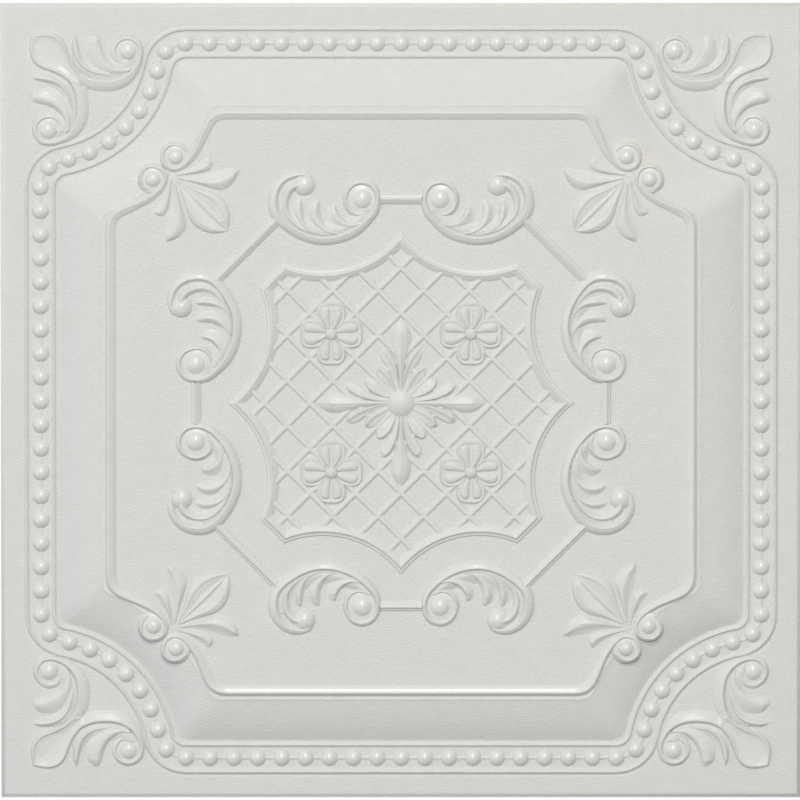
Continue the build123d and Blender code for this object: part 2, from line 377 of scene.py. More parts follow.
def lay_moulding(bm, path, left, right, rise, ground, sides, swell=EVEN, steps=60, across=(5, 5)):
    """A moulding along a drawn crest, with the width of each side given along it."""
    crest = path if len(path) == steps + 1 else smooth_line(path, steps + 1)
    foot_a, foot_b = [], []
    for step, (point, normal) in enumerate(zip(crest, left_normals(crest))):
        foot_a.append(point + normal * graph(left, step / steps))
        foot_b.append(point - normal * graph(right, step / steps))
    raise_strip(bm, foot_a, crest, foot_b, rise, swell, sides, ground, across)


def lay_dome(bm, place, radius, rise, ground, segments=28, rings=8):
    """A round boss, spun from a quarter of its outline."""
    cap = (radius**2 + rise**2) / (2 * rise)
    slant = math.asin(radius / cap)
    outline = []
    for step in range(rings + 1):
        angle = slant * step / rings
        height = ground + rise - cap * (1 - math.cos(angle))
        outline.append((place[0] + cap * math.sin(angle), place[1], height))
    outline.append((place[0] + radius + SKIRT_OUT, place[1], ground - 3 * DIP))
    verts = [bm.verts.new(Vector(point) * MM) for point in outline]
    edges = [bm.edges.new(pair) for pair in zip(verts, verts[1:])]
    bmesh.ops.spin(
        bm,
        geom=verts + edges,
        cent=(place[0] * MM, place[1] * MM, 0),
        axis=(0, 0, 1),
        angle=2 * math.pi,
        steps=segments,
        use_merge=True,
    )


def turn_copies(bm, quarters):
    """Adds copies of the whole mesh, turned by these numbers of quarter turns."""
    whole = bm.verts[:] + bm.edges[:] + bm.faces[:]
    for count in quarters:
        copy = bmesh.ops.duplicate(bm, geom=whole)["geom"]
        turn = Matrix.Rotation(math.pi / 2 * count, 3, "Z")
        bmesh.ops.rotate(bm, verts=of_kind(copy, VERT), cent=(0, 0, 0), matrix=turn)


def spread(bm, mirrored):
    """Repeats a motif in all four quarters, and across the diagonal where it is mirrored."""
    if mirrored:
        copy = bmesh.ops.duplicate(bm, geom=bm.verts[:] + bm.edges[:] + bm.faces[:])["geom"]
        for vert in of_kind(copy, VERT):
            vert.co.x, vert.co.y = -vert.co.y, -vert.co.x
        bmesh.ops.reverse_faces(bm, faces=of_kind(copy, FACE))
    turn_copies(bm, (1, 2, 3))


def add_object(name, data):
    """Adds an object to the scene."""
    item = bpy.data.objects.new(name, data)
    bpy.context.scene.collection.objects.link(item)
    return item


def add_mesh(name, bm, material):
    """Makes an object of a finished mesh."""
    mesh = bpy.data.meshes.new(name)
    bm.to_mesh(mesh)
    bm.free()
    mesh.materials.append(material)
    return add_object(name, mesh)


def finish_piece(bm, name, gloss=0.2):
    """Makes a smooth piece of foam that rides on the tile."""
    bmesh.ops.remove_doubles(bm, verts=bm.verts[:], dist=MERGE * MM)
    for face in bm.faces:
        face.smooth = True
    piece = add_mesh(name, bm, pressed_foam(gloss))
    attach(piece, "root")
    return piece


# Material


def add_node(tree, kind, settings=(), **inputs):
    """Adds a node with its settings and links or values for its inputs."""
    node = tree.nodes.new(kind)
    for key, value in settings:
        setattr(node, key, value)
    for key, value in inputs.items():
        socket = node.inputs[key.replace("_", " ")]
        if isinstance(value, bpy.types.NodeSocket):
            tree.links.new(value, socket)
        else:
            socket.default_value = value
    return node


def pressed_foam(gloss):
    """Extruded polystyrene foam, hot pressed: white, with a fine grain.

    The deeper the mould draws the foam, the smoother its skin is and the more it shines.
    """
    name = "polystyrene_foam_gloss_%02d" % round(100 * gloss)
    known = bpy.data.materials.get(name)
    if known:
        return known
    finish = bpy.context.scene.foam_finish
    material = bpy.data.materials.new(name)
    material.use_nodes = True
    tree = material.node_tree
    tree.nodes.clear()
    place = add_node(tree, "ShaderNodeTexCoord").outputs["Object"]
    grain = add_node(
        tree, "ShaderNodeTexNoise", Vector=place, Scale=1 / (GRAIN_SIZE * MM), Detail=3.0
    )
    clouds = add_node(
        tree, "ShaderNodeTexNoise", Vector=place, Scale=1 / (CLOUD_SIZE * MM), Detail=2.0
    )
    shade = add_node(
        tree,
        "ShaderNodeMapRange",
        Value=clouds.outputs["Fac"],
        From_Min=0.3,
        From_Max=0.7,
        To_Min=0.0,
        To_Max=0.6,
    )
    tint = add_node(tree, "ShaderNodeMix", (("data_type", "RGBA"),))
    tree.links.new(shade.outputs["Result"], tint.inputs[0])
    tint.inputs[6].default_value = finish.foam_colour
    tint.inputs[7].default_value = finish.shade_colour
    bump = add_node(
        tree,
        "ShaderNodeBump",
        Strength=finish.grain_strength * (1 - gloss),
        Distance=GRAIN_DEPTH * MM,
        Height=grain.outputs["Fac"],
    )
    shader = add_node(
        tree,
        "ShaderNodeBsdfPrincipled",
        Base_Color=tint.outputs[2],
        Roughness=finish.roughness,
        Specular_IOR_Level=0.35,
        IOR=1.5,
        Coat_Weight=gloss * finish.skin_gloss,
        Coat_Roughness=0.2,
        Normal=bump.outputs["Normal"],
    )
    add_node(tree, "ShaderNodeOutputMaterial", Surface=shader.outputs["BSDF"])
    return material


# Operators, one for each piece or group of like pieces


def border_level(context):
    """Height of the border's face, in millimetres."""
    return context.scene.sheet_sizes.thickness / MM


def field_level(context):
    """Height of the raised field, in millimetres."""
    return border_level(context) + context.scene.sheet_sizes.pillow_rise / MM


def pillow_height(sizes, inset):
    """Height of the pillow above its foot, inset millimetres inside it."""
    share = min(max(inset / (sizes.slope_width / MM), 0), 1)
    rounded = 1 - (1 - share) ** 3
    return sizes.pillow_rise / MM * (rounded + SLOPE_FLATNESS * (share - rounded))


def face_height(sizes, offset):
    """Height of the tile's face at an offset from the beaded line."""
    height = sizes.thickness / MM + pillow_height(sizes, PILLOW_FOOT - offset)
    ridges = tuple((ridge, RIDGE_HALF, sizes.ridge_rise / MM) for ridge in RIDGES)
    for centre, half_width, rise in ridges + FINE_ROUNDS:
        height += rise * soft_side(1 - min(abs(offset - centre) / half_width, 1))
    return height


def seat_feet(bm, sizes, ground):
    """Brings the feet of a form that reaches out over the pillow's slope down into that slope."""
    for vert in bm.verts:
        if vert.co.z > (ground - FOOT_BELOW) * MM:
            continue
        x, y = abs(vert.co.x) / MM, abs(vert.co.y) / MM
        offset = max(max(x, y) - BEAD_LINE, NOTCH_RADIUS - math.hypot(x - BEAD_LINE, y - BEAD_LINE))
        vert.co.z = min(vert.co.z, (face_height(sizes, offset) - SEAT_DEPTH) * MM)


class CEILINGTILE_OT_sheet(bpy.types.Operator):
    """Builds the pressed sheet: border, bead channel, slope, field and hollow back"""

    bl_idname = "ceiling_tile.sheet"
    bl_label = "Pressed Sheet"

    def execute(self, context):
        sizes = context.scene.sheet_sizes
        border, field = border_level(context), field_level(context)
        bm = bmesh.new()
        station = bm.verts.layers.int.new("station")

        def close(verts):
            return [bm.edges.new((a, b)) for a, b in zip(verts, verts[1:] + verts[:1])]

        def first_ring(offset, height):
            verts = []
            for index, point in enumerate(parallel(offset)):
                verts.append(bm.verts.new((point.x * MM, point.y * MM, height * MM)))
                verts[-1][station] = index
            return close(verts)

        def next_ring(edges, offset, height):
            made = bmesh.ops.extrude_edge_only(bm, edges=edges)["geom"]
            points = parallel(offset)
            for vert in of_kind(made, VERT):
                point = points[vert[station]]
                vert.co = (point.x * MM, point.y * MM, height * MM)
            return of_kind(made, EDGE)

        # Rings of the face, closest together over the ridges and round the top of the slope
        over_ridge = [RIDGE_HALF * step / 5 for step in range(-5, 6)]
        offsets = [12.6, 11.8, 11.4, 11.0, 10.7]
        offsets += [RIDGES[0] - step for step in over_ridge]
        offsets += [5.5, 3.5, 1.8, 1.4, 1.0, 0.6, 0.2]
        offsets += [-offset for offset in reversed(offsets[-6:])] + [-5.5]
        offsets += [RIDGES[1] - step for step in over_ridge]
        offsets += [PILLOW_FOOT - 0.8 * step for step in range(12)]
        offsets += [-20.8 - 1.6 * step for step in range(11)]
        offsets += [-37.3 - 0.35 * step for step in range(12)]
        offsets += [-42.0, -43.5]
        outer = first_ring(13.5, border)
        ring = outer
        for offset in offsets:
            ring = next_ring(ring, offset, face_height(sizes, offset))
        bmesh.ops.triangle_fill(bm, edges=ring, use_beauty=True)

        # Square border outside the ridges, its bevel and the cut edge down to the back
        width, drop = sizes.bevel_width / MM, sizes.bevel_drop / MM
        stack = [(HALF_SIDE - width * (1 - over), border - drop * down) for over, down in SHOULDER]
        stack += [(HALF_SIDE - inset, height) for inset, height in CUT_EDGE]
        half, height = stack[0]
        corners = [
            bm.verts.new((x * half * MM, y * half * MM, height * MM))
            for x, y in ((-1, 1), (1, 1), (1, -1), (-1, -1))
        ]
        square = close(corners)
        bmesh.ops.triangle_fill(bm, edges=outer + square, use_beauty=True)
        for half, height in stack[1:]:
            made = bmesh.ops.extrude_edge_only(bm, edges=square)["geom"]
            for vert in of_kind(made, VERT):
                x, y = (math.copysign(half * MM, value) for value in vert.co.xy)
                vert.co = (x, y, height * MM)
            square = of_kind(made, EDGE)

        # Hollow back, which follows the face at the sheet's own thickness
        back = first_ring(PILLOW_FOOT + BACK_STEP, 0.0)
        bmesh.ops.triangle_fill(bm, edges=back + square, use_beauty=True)
        ring = next_ring(back, PILLOW_FOOT + BACK_STEP / 2, 0.0)
        for step in range(1, 19):
            inset = step * BACK_STEP
            height = pillow_height(sizes, inset)
            ring = next_ring(ring, PILLOW_FOOT - inset + BACK_STEP / 2, height)
        ring = next_ring(ring, FIELD_EDGE, field - border)
        ring = next_ring(ring, FIELD_EDGE - 1.5, field - border)
        bmesh.ops.triangle_fill(bm, edges=ring, use_beauty=True)
        bmesh.ops.recalc_face_normals(bm, faces=bm.faces[:])
        piece = finish_piece(bm, "tile_sheet", gloss=0.0)
        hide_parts(NODE)
        return {"FINISHED"}


class CEILINGTILE_OT_beads(bpy.types.Operator):
    """Builds the row of beads round the border"""

    bl_idname = "ceiling_tile.beads"
    bl_label = "Border Beads"

    def execute(self, context):
        relief = context.scene.relief_sizes
        radius, rise = relief.bead_radius / MM, relief.bead_rise / MM
        reach = junction_centre(0)[0].x
        places = [
            Vector((reach * (2 * step / (BEADS_ON_SIDE - 1) - 1), BEAD_LINE))
            for step in range(BEADS_ON_SIDE)
        ]
        run = parallel(0)[LINE_STEPS : LINE_STEPS + 2 * JUNCTION_STEPS + NOTCH_STEPS + 1]
        places += smooth_line(run, BEADS_ON_NOTCH + 2)[1:-1]
        bm = bmesh.new()
        for place in places:
            lay_dome(bm, place, radius, rise, border_level(context), segments=20, rings=6)
        spread(bm, mirrored=False)
        bmesh.ops.recalc_face_normals(bm, faces=bm.faces[:])
        finish_piece(bm, "border_beads", gloss=0.6)
        return {"FINISHED"}


FIELD_RIB_PATH = (
    (0, 182.5), (-25, 182.5), (-50, 182.5), (-75, 182.5), (-100, 182.5), (-109, 182.5),
    (-115.3, 181.2), (-119.8, 177.4), (-122.8, 171.5), (-127.3, 160.7), (-131.8, 153.4),
    (-136.4, 148.7), (-141.4, 147.1), (-146.2, 149.1), (-148.5, 153.9), (-147.7, 158.8),
    (-143.6, 162), (-138.2, 161.6), (-134.4, 158.6),
)
RIB_EYE = (-140.6, 154.7)


class CEILINGTILE_OT_field_rib(bpy.types.Operator):
    """Builds the rib round the field, with a volute at each end"""

    bl_idname = "ceiling_tile.field_rib"
    bl_label = "Field Rib"

    def execute(self, context):
        field = field_level(context)
        bm = bmesh.new()
        lay_moulding(
            bm,
            FIELD_RIB_PATH,
            left=((0, 4.9), (0.64, 4.9), (0.74, 3.6), (0.82, 2.2), (1, 1.2)),
            right=((0, 2.4), (0.64, 2.4), (0.76, 2), (0.84, 1.7), (1, 1.1)),
            rise=context.scene.relief_sizes.frame_rise / MM,
            ground=field,
            sides=(keeled_side, eased_side),
            swell=((0, 1), (0.72, 0.95), (0.86, 0.75), (1, 0.6)),
            steps=130,
            across=(7, 5),
        )
        lay_dome(bm, RIB_EYE, 9.4, 1.3, field, rings=5)
        seat_feet(bm, context.scene.sheet_sizes, field)
        spread(bm, mirrored=True)
        finish_piece(bm, "field_rib", gloss=0.25)
        return {"FINISHED"}


# A leaf is drawn as one foot, its crest and the other foot
FAN_EDGE = (
    (-138.2, 139.4), (-131, 136.9), (-124, 134.8), (-117, 132.8), (-112, 129.6), (-108.3, 124),
    (-106.7, 117.5), (-107, 111.5), (-108.2, 108.2),
)
FAN_MIDDLE = ((-138.8, 138.8), (-128, 128), (-118, 118), (-108.2, 108.2))
SIDE_LEAF = (
    ((-138.5, 140.6), (-128, 138), (-120, 135.2), (-113, 133.4), (-107, 135.6), (-103, 140.5),
     (-101, 146.4)),
    ((-138, 141.3), (-128, 139.5), (-120, 138.8), (-114, 139.7), (-108, 142), (-104, 144.8),
     (-101, 146.4)),
    ((-138, 142), (-128, 142.6), (-120, 144.6), (-112, 147), (-106, 147.8), (-103, 147.4),
     (-101, 146.4)),
)
SMALL_LEAF = (
    ((-139.5, 143), (-130, 143.6), (-122, 145), (-118, 147.2), (-117.2, 150.2), (-119.2, 154.4)),
    ((-139.5, 143.4), (-131, 145.2), (-125, 147.3), (-121.3, 149.6), (-119.9, 151.8),
     (-119.2, 154.4)),
    ((-139.5, 143.8), (-134, 145.8), (-129.5, 148.4), (-125, 151.5), (-121.5, 154.4),
     (-119.2, 154.4)),
)


class CEILINGTILE_OT_palmettes(bpy.types.Operator):
    """Builds the leaf fans in the corners of the field"""

    bl_idname = "ceiling_tile.palmettes"
    bl_label = "Palmettes"

    def execute(self, context):
        field = field_level(context)
        rise = context.scene.relief_sizes.leaf_rise / MM
        bm = bmesh.new()
        # One half of the fan: its own mirror image closes it
        edge, middle = (smooth_line(line, 41) for line in (FAN_EDGE, FAN_MIDDLE))
        swell = ((0, 0.3), (0.45, 1), (0.8, 0.95), (1, 0.2))
        raise_strip(bm, edge, middle, None, rise, swell, (FAN_SIDE, None), field, across=(22, 0))
        sides = (full_side, hollow_side)
        swell = ((0, 0.3), (0.55, 1), (0.88, 0.9), (1, 0.15))
        lay_leaf(bm, *SIDE_LEAF, rise * 1.05, field, sides, swell, steps=36)
        swell = ((0, 0.4), (0.6, 1), (0.85, 0.9), (1, 0.1))
        lay_leaf(bm, *SMALL_LEAF, rise * 0.8, field, sides, swell)
        spread(bm, mirrored=True)
        finish_piece(bm, "palmettes")
        return {"FINISHED"}


SCROLL_RIM_PATH = (
    (-56.5, 141.5), (-60, 143.2), (-64.5, 143.4), (-69, 142.3), (-73.5, 139.6), (-76.8, 135.3),
    (-78.4, 130), (-78.5, 124), (-76.9, 119), (-73.3, 114.8), (-68, 110.7), (-62, 107.2),
    (-56, 104.9), (-50, 103.9), (-44, 104.1), (-38, 105.3), (-32, 107.6), (-26, 111.2),
    (-20.8, 115.6), (-17, 120), (-15, 125), (-14.8, 130), (-16.5, 134.6), (-20, 137.7),
    (-25, 138.8), (-30, 137.1), (-33.3, 133.2), (-34.4, 128.4), (-33.5, 123.6), (-30.8, 120.2),
    (-27, 118.6), (-22.6, 119.2),
)
SCROLL_RIM_LEFT = ((0, 1.4), (0.06, 2.4), (0.2, 3), (0.32, 2.4), (0.6, 2.4), (0.75, 2.4), (1, 1.6))
SCROLL_RIM_RIGHT = (
    (0, 1.8), (0.08, 3.4), (0.2, 4.9), (0.55, 4.9), (0.64, 3.4), (0.72, 2.2), (1, 1.4)
)
SCROLL_BED = (
    ((-77, 134), (-78.3, 126), (-73.5, 115), (-62, 107.3), (-49, 104.2), (-35, 106.3), (-22, 114.3),
     (-16, 122)),
    ((-74, 132), (-74.5, 124), (-69.5, 116), (-60, 110.5), (-49, 108), (-36.5, 109.6), (-27, 115),
     (-22, 120)),
    ((-66.5, 133.5), (-67.5, 126), (-64, 120.5), (-57, 118), (-48, 115), (-40, 115.6), (-33, 117.8),
     (-27, 120)),
)
SCROLL_STEM = (
    (-62.5, 138), (-67.5, 136.4), (-71.2, 132.2), (-72.8, 126.6), (-72.2, 120.6), (-69.2, 115.6),
    (-64.2, 111.2), (-57.5, 107.8), (-50, 106.2), (-43, 106.2),
)
SCROLL_LOBES = (
    (
        ((-63.6, 129), (-66.2, 126), (-67.6, 119.5), (-64.4, 113.2), (-58, 108.4), (-50, 105.8)),
        ((-62.9, 128.6), (-63.9, 123), (-63.3, 117), (-60.9, 111.8), (-55.2, 107.4), (-47, 105.8)),
        ((-62.2, 128.8), (-61.2, 123.5), (-60.3, 117.6), (-57.8, 112.2), (-52.4, 108), (-44, 106)),
    ),
    (
        ((-54.2, 127.8), (-56.8, 125), (-58.4, 120.6), (-58.2, 115.6), (-54.6, 110.8), (-48.6, 107),
         (-42, 105.9)),
        ((-52.2, 128), (-53.8, 123.4), (-54, 118.4), (-52, 113.2), (-47.8, 109), (-42.8, 106.9),
         (-37.5, 106.3)),
        ((-50.4, 127.6), (-50.4, 123), (-49.8, 117.8), (-47.2, 112.6), (-43, 109.2), (-38, 107.6),
         (-32, 107.4)),
    ),
    (
        ((-42.8, 125.4), (-45.4, 122.4), (-46.4, 117.8), (-44.8, 112.8), (-40.4, 109), (-34, 107.6),
         (-27, 109.4)),
        ((-41.6, 124.8), (-41.4, 120.6), (-39.4, 116.6), (-36, 113.6), (-31.6, 112.2),
         (-27.6, 112.4), (-23.5, 113.8)),
        ((-40.6, 124.8), (-39.8, 121.2), (-37.8, 117.8), (-34.6, 115.2), (-30.8, 113.9), (-27, 114),
         (-22.6, 115.4)),
    ),
)
SCROLL_RING = (-25.2, 127.4)
SCROLL_EYE = (-24.4, 128.2)
SCROLL_BALL = (-60.3, 137)
BAR_REACH = 136.3 / math.sqrt(2)
BAR_PATHS = (
    ((-BAR_REACH - 19, BAR_REACH - 19), (-BAR_REACH, BAR_REACH), (-BAR_REACH + 19, BAR_REACH + 19)),
    ((-13, 128.4), (0, 128.4), (13, 128.4)),
)


class CEILINGTILE_OT_scrolls(bpy.types.Operator):
    """Builds the eight leaf scrolls and the bars that join them into an octagon"""

    bl_idname = "ceiling_tile.scrolls"
    bl_label = "Scrolls"

    def execute(self, context):
        field = field_level(context)
        relief = context.scene.relief_sizes
        bm = bmesh.new()
        lay_moulding(
            bm,
            SCROLL_RIM_PATH,
            left=SCROLL_RIM_LEFT,
            right=SCROLL_RIM_RIGHT,
            rise=relief.rim_rise / MM,
            ground=field,
            sides=(eased_side, lipped_side),
            swell=((0, 0.5), (0.08, 0.8), (0.2, 1), (0.62, 1), (0.78, 0.72), (1, 0.55)),
            steps=160,
            across=(5, 9),
        )
        # Bed inside the rim, which falls off towards the tips of the lobes
        beds = bmesh.new()
        lay_leaf(
            beds,
            *SCROLL_BED,
            rise=2.3,
            ground=field,
            sides=(full_side, soft_side),
            swell=((0, 0.3), (0.2, 0.6), (0.4, 1), (0.8, 1), (1, 0.7)),
            steps=50,
            across=(6, 8),
        )
        spread(beds, mirrored=True)
        finish_piece(beds, "scroll_beds", gloss=0.0)
        lay_moulding(
            bm,
            SCROLL_STEM,
            left=((0, 3.6), (0.2, 3.4), (0.5, 2.8), (1, 1)),
            right=((0, 3), (0.2, 2.4), (0.5, 1.8), (1, 0.9)),
            rise=3.1,
            ground=field,
            sides=(full_side, eased_side),
            swell=((0, 1.1), (0.3, 1), (0.6, 0.95), (1, 0.8)),
            across=(5, 4),
        )
        for lobe in SCROLL_LOBES:
            lay_leaf(
                bm,
                *lobe,
                rise=3.2,
                ground=field,
                sides=(eased_side, full_side),
                swell=((0, 0.05), (0.08, 0.6), (0.22, 0.95), (0.7, 1), (1, 0.7)),
                steps=40,
                across=(6, 5),
            )
        lay_dome(bm, SCROLL_RING, 11.4, 1.6, field, segments=36, rings=5)
        spread(bm, mirrored=True)
        finish_piece(bm, "leaf_scrolls", gloss=0.3)

        bars = bmesh.new()
        for path in BAR_PATHS:
            lay_moulding(
                bars,
                path,
                left=((0, 2.9), (1, 2.9)),
                right=((0, 3.9), (1, 3.9)),
                rise=relief.frame_rise / MM,
                ground=field,
                sides=(STEPPED, keeled_side),
                steps=6,
                across=(12, 8),
            )
        spread(bars, mirrored=False)
        finish_piece(bars, "octagon_bars")
        return {"FINISHED"}


FRAME_BELLY = Vector((-49, 144.5))
FRAME_RADIUS = 64.2
FRAME_FLAT = 110.7
FRAME_STEPS = 48


def frame_line(outward):
    """One eighth of a line parallel to the frame's crest: from the top cusp to the diagonal."""
    radius = FRAME_RADIUS - outward
    flat = FRAME_FLAT + outward
    first = -math.acos(-FRAME_BELLY.x / radius)
    # The straight shoulder is square to the diagonal, flat away from the middle of the tile
    belly_reach = (FRAME_BELLY.y - FRAME_BELLY.x) / math.sqrt(2)
    last = 3 * math.pi / 4 + math.acos((flat - belly_reach) / radius) - 2 * math.pi
    points = []
    for step in range(FRAME_STEPS + 1):
        angle = first + (last - first) * step / FRAME_STEPS
        points.append(FRAME_BELLY + radius * Vector((math.cos(angle), math.sin(angle))))
    middle = Vector((-flat, flat)) / math.sqrt(2)
    return points + [points[-1].lerp(middle, step / 6) for step in range(1, 7)]


class CEILINGTILE_OT_cartouche(bpy.types.Operator):
    """Builds the frame of the cartouche"""

    bl_idname = "ceiling_tile.cartouche"
    bl_label = "Cartouche"

    def execute(self, context):
        bm = bmesh.new()
        raise_strip(
            bm,
            frame_line(3.7),
            frame_line(0),
            frame_line(-4.3),
            rise=context.scene.relief_sizes.frame_rise / MM,
            swell=EVEN,
            sides=(STEPPED, keeled_side),
            ground=field_level(context),
            across=(12, 8),
        )
        spread(bm, mirrored=True)
        finish_piece(bm, "cartouche_frame")
        return {"FINISHED"}


LATTICE_PITCH = 28.4 / math.sqrt(2)
LATTICE_HALF = ((0, 2.2), (1, 2.2))
LATTICE_STEPS = 64


def lattice_reach(across):
    """How far a lattice line runs before it meets the frame, at its distance from the middle."""
    low, high = 0.0, 130.0
    for _ in range(30):
        middle = (low + high) / 2
        x, y = (abs(across) - middle) / math.sqrt(2), (abs(across) + middle) / math.sqrt(2)
        x, y = -min(abs(x), abs(y)), max(abs(x), abs(y))
        clear_of_belly = (Vector((x, y)) - FRAME_BELLY).length > FRAME_RADIUS + 1.5
        if clear_of_belly and y - x < FRAME_FLAT * math.sqrt(2) - 2:
            low = middle
        else:
            high = middle
    return low


class CEILINGTILE_OT_lattice(bpy.types.Operator):
    """Builds the lattice of fine lines inside the cartouche"""

    bl_idname = "ceiling_tile.lattice"
    bl_label = "Lattice"

    def execute(self, context):
        bm = bmesh.new()
        slant = Matrix.Rotation(math.pi / 4, 2)
        for index in range(-5, 6):
            across = index * LATTICE_PITCH
            reach = lattice_reach(across)
            lay_moulding(
                bm,
                [
                    slant @ Vector((across, -reach + 2 * reach * step / LATTICE_STEPS))
                    for step in range(LATTICE_STEPS + 1)
                ],
                left=LATTICE_HALF,
                right=LATTICE_HALF,
                rise=context.scene.relief_sizes.lattice_rise / MM,
                ground=field_level(context),
                sides=(LATTICE_SIDE, LATTICE_SIDE),
                steps=LATTICE_STEPS,
            )
        turn_copies(bm, (1,))
        finish_piece(bm, "lattice")
        return {"FINISHED"}


FLOWER_PLACE = Vector((-43.6, 43.6))
# One petal of the flower, which points to +X, and the upper one of its two lobes
PETAL_EDGE = (
    (3.4, 4.6), (6, 7), (8.6, 8.8), (12, 9.6), (15.6, 9.2), (18.2, 7.4), (19.5, 4.6), (19.7, 1.6),
)
PETAL_LOBE = (
    ((3.6, 0.1), (8, 0.15), (12, 0.2), (15.6, 0.6), (17.2, 2.2)),
    ((3.6, 1.4), (7, 2.9), (10, 3.7), (13.6, 4), (15.8, 3.8), (17.2, 3.4)),
    ((3.6, 3), (7, 5.6), (10, 7.2), (13, 7.7), (15.8, 6.6), (17.2, 4.4)),
)


class CEILINGTILE_OT_flowers(bpy.types.Operator):
    """Builds the four flowers of the lattice"""

    bl_idname = "ceiling_tile.flowers"
    bl_label = "Flowers"

    def execute(self, context):
        field = field_level(context)
        bm = bmesh.new()
        outline = smooth_line(PETAL_EDGE + tuple((x, -y) for x, y in reversed(PETAL_EDGE)), 61)
        core = [Vector((min(max(point.x - 4.5, 3.4), 13.0), 0)) for point in outline]
        swell = ((0, 0.9), (0.3, 1), (0.7, 1), (1, 0.9))
        raise_strip(bm, outline, core, None, 2.3, swell, (PETAL_RIM, None), field, across=(15, 0))
        swell = ((0, 0.8), (0.6, 1), (0.85, 0.95), (1, 0.5))
        for sign in (1, -1):
            lobe = [tuple((x, sign * y) for x, y in line) for line in PETAL_LOBE]
            lay_leaf(bm, *lobe, 3.0, field, (round_side, round_side), swell, 26, (6, 6))
        turn_copies(bm, (1, 2, 3))
        bmesh.ops.translate(bm, verts=bm.verts[:], vec=FLOWER_PLACE.to_3d() * MM)
        lay_dome(bm, FLOWER_PLACE, 5.2, 3.2, field)
        spread(bm, mirrored=False)
        finish_piece(bm, "flowers", gloss=0.0)
        return {"FINISHED"}


# Half of the petal on the axis, and the two leaves beside it
ROSETTE_PETAL = (
    (-1.6, 8), (-1.8, 17), (-3.2, 25.5), (-5.4, 32.5), (-6.6, 39.5), (-5.6, 46), (-2.8, 50.4),
    (0, 52.6),
)
ROSETTE_AXIS = ((0, 8), (0, 52.6))
ROSETTE_LEAVES = (
    (
        ((-2, 8), (-3.6, 14), (-6.4, 19), (-10.2, 23.8), (-12.8, 28.6), (-12.9, 33.2)),
        ((-1.2, 8), (-1.8, 14), (-3.2, 20.4), (-5.4, 26.4), (-8.4, 31), (-12, 34.2)),
        ((-0.8, 8), (-1, 14), (-1.9, 20.8), (-3.8, 27.4), (-6.8, 32.4), (-10.8, 35)),
    ),
    (
        ((-6.4, 6.4), (-8.8, 8.9), (-12.2, 12.6), (-15.2, 16.4), (-16, 20.6)),
        ((-3.6, 7.8), (-5.4, 12.8), (-8, 17.6), (-11.4, 20.8), (-15.4, 22)),
        ((-2.4, 8), (-4, 13.8), (-6.6, 19), (-10.4, 22), (-14.8, 23)),
    ),
)


class CEILINGTILE_OT_rosette(bpy.types.Operator):
    """Builds the rosette in the middle of the tile"""

    bl_idname = "ceiling_tile.rosette"
    bl_label = "Rosette"

    def execute(self, context):
        field = field_level(context)
        rise = context.scene.relief_sizes.leaf_rise / MM
        bm = bmesh.new()
        edge, axis = (smooth_line(line, 45) for line in (ROSETTE_PETAL, ROSETTE_AXIS))
        swell = ((0, 0.5), (0.55, 0.95), (0.8, 1), (1, 0.15))
        sides = (lipped_side, None)
        raise_strip(bm, edge, axis, None, rise * 1.25, swell, sides, field, across=(10, 0))
        swell = ((0, 0.5), (0.6, 1), (0.88, 0.85), (1, 0.05))
        for leaf in ROSETTE_LEAVES:
            lay_leaf(bm, *leaf, rise * 1.1, field, (DISHED, full_side), swell, 36, (8, 4))
        spread(bm, mirrored=True)
        lay_dome(bm, (0, 0), 22.0, 1.3, field, segments=40, rings=6)
        lay_dome(bm, (0, 0), 9.9, 4.0, field, segments=24, rings=10)
        finish_piece(bm, "rosette", gloss=0.15)
        return {"FINISHED"}


# The crest of the bud's edge runs on as the crest of the frond's rim
BUD_EDGE = (
    (-229, 229), (-224.6, 229.9), (-219.4, 230.1), (-214.6, 228.4), (-211, 224.2), (-208.4, 217.4),
    (-205.2, 210.8), (-200.6, 205.2),
)
BUD_MIDDLE = ((-229, 229), (-219, 219), (-209.6, 209.6), (-200.4, 200.4))
CORNER_RIM_PATH = (
    (-200.6, 205.2), (-194.6, 202.4), (-187.5, 201.2), (-180.3, 201.3), (-174.2, 202.8),
    (-168.6, 206.2), (-164.4, 211.4), (-162.3, 217.6), (-163, 223.2), (-166.4, 227),
    (-171.4, 228.2), (-176.2, 226.2), (-178.8, 221.6), (-178.2, 216.4), (-174.6, 213),
    (-170.6, 212.4), (-167.2, 214),
)
CORNER_FOOT = (
    (-200.4, 200.4), (-197.8, 197.8), (-194.4, 195.9), (-189.4, 194.8), (-183, 194.4),
    (-175.5, 195.6), (-168.3, 199.8), (-163.6, 206.6), (-161.1, 214), (-160.4, 221), (-163, 227),
    (-169.6, 229.9), (-175.9, 228.3), (-180.6, 223.5), (-181.2, 217.8), (-178.2, 212.8),
    (-173.4, 210.4), (-169, 210.2),
)
CORNER_BED = (
    ((-206, 217), (-203, 209.5), (-197, 205), (-187, 202.3), (-177, 202.8), (-168, 207.6),
     (-163.5, 216)),
    ((-203, 219), (-200, 212), (-194, 208.5), (-186, 207), (-179, 207.5), (-173, 210.5),
     (-169, 214)),
    ((-199, 222), (-195.5, 216.5), (-190.5, 214.5), (-186, 214.5), (-182, 215), (-178, 216),
     (-175, 218)),
)
